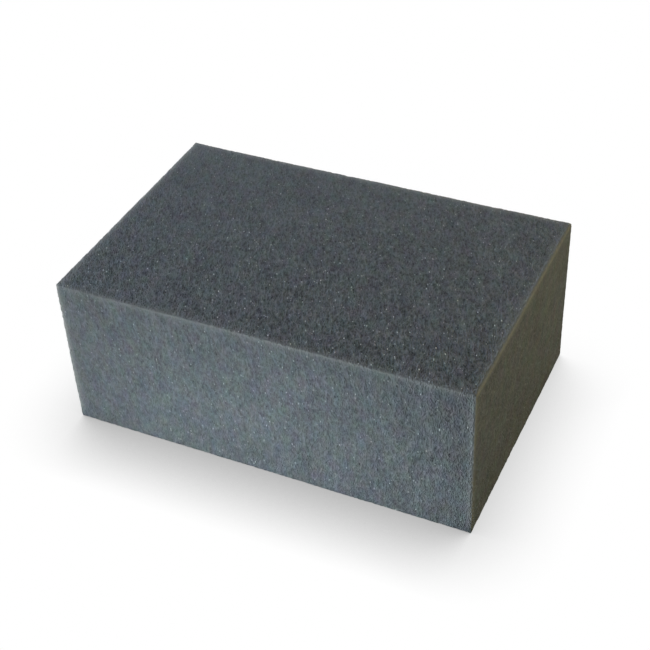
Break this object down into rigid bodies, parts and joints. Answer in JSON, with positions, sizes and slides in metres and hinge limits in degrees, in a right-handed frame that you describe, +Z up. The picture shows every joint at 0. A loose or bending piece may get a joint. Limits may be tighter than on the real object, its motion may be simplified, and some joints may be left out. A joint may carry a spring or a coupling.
{
  "type": "foam cleaning sponge",
  "caption": "Rectangular block of charcoal-grey open-cell foam with crisp cut edges, used wet or dry for wiping and cleaning.",
  "frame": {"origin": "middle of the large face that the block lies on", "axes": "+X along the length, +Y across the width towards the back, +Z up through the thickness"},
  "size_m": [0.2, 0.13, 0.08],
  "materials": {
    "charcoal_foam": "matte"
  },
  "bodies": {
    "root": {"foam_block": "charcoal_foam"}
  },
  "joints": []
}
